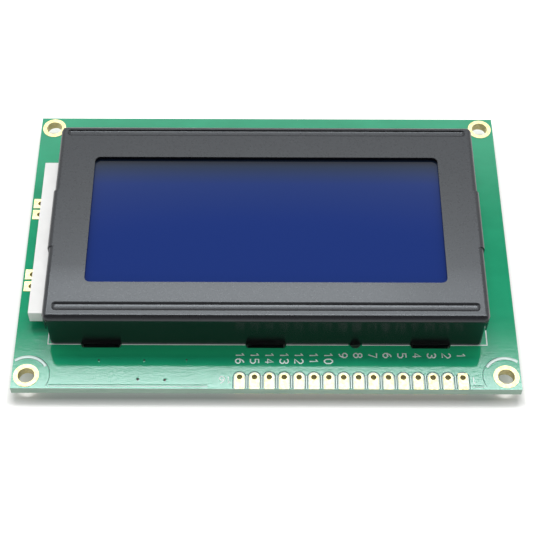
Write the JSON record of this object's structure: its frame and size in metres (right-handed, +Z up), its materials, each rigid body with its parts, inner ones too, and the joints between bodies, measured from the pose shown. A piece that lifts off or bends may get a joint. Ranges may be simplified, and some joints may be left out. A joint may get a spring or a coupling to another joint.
{
  "type": "character lcd module",
  "caption": "Blue character display in a black stamped bezel, clamped to a green circuit board with a header row of plated holes, a light bar at one end and corner mounting holes.",
  "frame": {"origin": "under the middle of the board, on the surface that the module lies on with its display up", "axes": "+X along the header row towards hole 1, +Y from the header row across the display, +Z up out of the display"},
  "size_m": [0.087, 0.06, 0.0117],
  "materials": {
    "solder_mask": "glossy green solder mask on glass-epoxy laminate",
    "gold_plating": "thin pale gold plating on copper",
    "tinned_copper": "bright solder on copper",
    "black_bezel": "satin black paint on steel sheet",
    "display_film": "smooth blue polariser film",
    "clear_glass": "clear",
    "rear_film": "smooth grey polariser film",
    "clear_adhesive": "clear cured adhesive",
    "contact_rubber": "matte silicone with carbon layers",
    "white_plastic": "white moulded plastic",
    "clear_acrylic": "clear polished acrylic",
    "white_film": "white film",
    "lamp_laminate": "white laminate",
    "lamp_phosphor": "yellow phosphor in clear resin",
    "tinned_wire": "tinned wire",
    "black_resin": "black sealing resin",
    "resistor_ceramic": "black glazed ceramic with tinned ends",
    "capacitor_ceramic": "tan ceramic with tinned ends"
  },
  "bodies": {
    "root": {"circuit_board": "solder_mask", "mounting_rings": "gold_plating", "header_pads": "gold_plating", "backlight_pads": "gold_plating", "contact_fingers": "gold_plating", "tab_lands": "tinned_copper", "chip_lands": "tinned_copper", "link_lands": "tinned_copper", "bezel": "black_bezel", "front_polariser": "display_film", "front_glass": "clear_glass", "rear_glass": "clear_glass", "rear_polariser": "rear_film", "fill_port_seal": "clear_adhesive", "contact_strip_near": "contact_rubber", "contact_strip_far": "contact_rubber", "backlight_housing": "white_plastic", "light_guide": "clear_acrylic", "diffuser_sheet": "white_film", "reflector_sheet": "white_film", "lamp_board": "lamp_laminate", "backlight_lamps": "lamp_phosphor", "backlight_leads": "tinned_wire", "lead_solder": "tinned_copper", "controller_resin": "black_resin", "driver_resin": "black_resin", "chip_resistors": "resistor_ceramic", "chip_capacitors": "capacitor_ceramic"}
  },
  "joints": []
}
